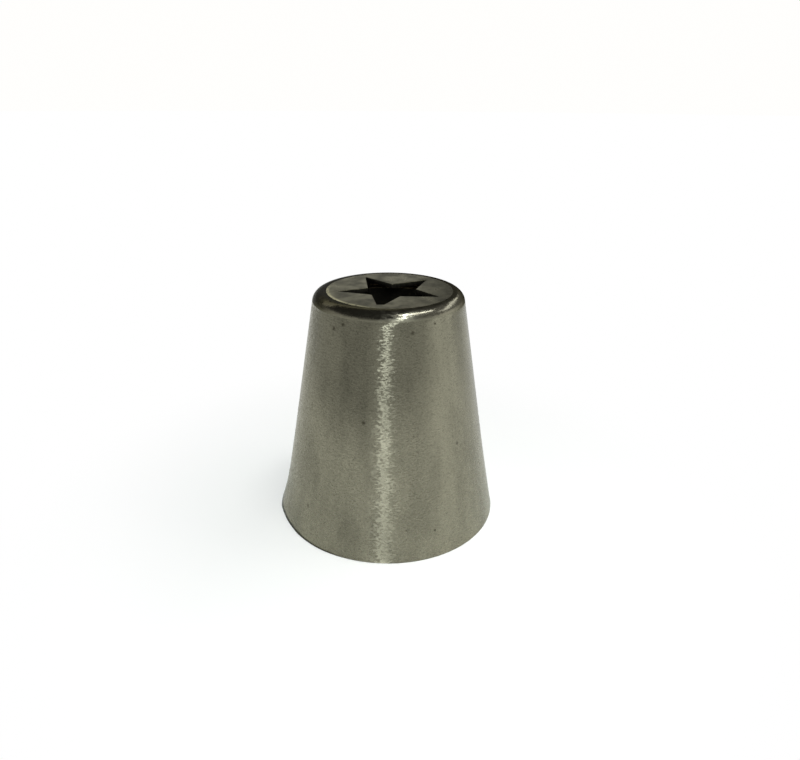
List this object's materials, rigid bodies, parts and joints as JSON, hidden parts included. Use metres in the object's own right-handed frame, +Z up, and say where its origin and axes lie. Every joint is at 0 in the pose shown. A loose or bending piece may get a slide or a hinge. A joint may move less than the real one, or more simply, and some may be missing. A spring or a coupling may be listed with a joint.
{
  "type": "piping nozzle",
  "caption": "Large stainless piping nozzle: a cone that narrows from a filling mouth to a rounded cap with a punched star opening.",
  "frame": {"origin": "centre of the filling mouth's rim, on the plane that the nozzle stands on", "axes": "+Z up the cone's axis to the star face; +X to the right and +Y away from the viewer of the picture"},
  "size_m": [0.034, 0.034, 0.0352],
  "materials": {
    "brushed_wall": "stainless sheet brushed round the cone, dulled by use",
    "polished_cap": "stainless sheet, tumbled flat face and a polished shoulder",
    "weld_bead": "stainless weld, ground flush outside and left as welded inside"
  },
  "bodies": {
    "root": {"cone_wall": "brushed_wall", "side_seam_weld": "weld_bead", "cap_weld": "weld_bead", "star_cap": "polished_cap"}
  },
  "joints": []
}
